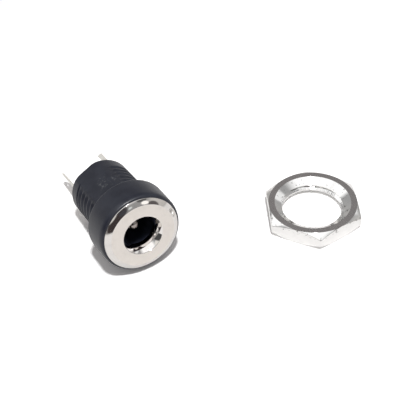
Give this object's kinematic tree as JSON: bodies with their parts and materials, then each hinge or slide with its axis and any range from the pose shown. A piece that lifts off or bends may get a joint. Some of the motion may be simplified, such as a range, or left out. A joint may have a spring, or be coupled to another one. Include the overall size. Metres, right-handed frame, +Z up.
{
  "type": "dc barrel jack",
  "caption": "Round panel-mount DC barrel jack with a metal bezel, threaded black barrel, two solder terminals and its hex panel nut beside it.",
  "frame": {"origin": "on the surface that both pieces lie on, under the middle of the box around the jack and its nut", "axes": "+Z up and along the nut's thread, +X the way the jack's plug opening faces, seen from above, +Y from the jack toward its nut"},
  "size_m": [0.039, 0.0456, 0.0144],
  "materials": {
    "black_plastic": "satin moulded plastic",
    "nickel": "bright nickel plating, turned",
    "tin": "tin-plated strip",
    "black_insulator": "matte",
    "nut_nickel": "bright nickel plating"
  },
  "bodies": {
    "root": {"housing": "black_plastic", "bezel_ring": "nickel", "center_pin": "nickel", "sleeve_spring": "tin", "terminal_base": "black_insulator", "pin_terminal": "tin", "panel_nut": "nut_nickel"}
  },
  "joints": []
}
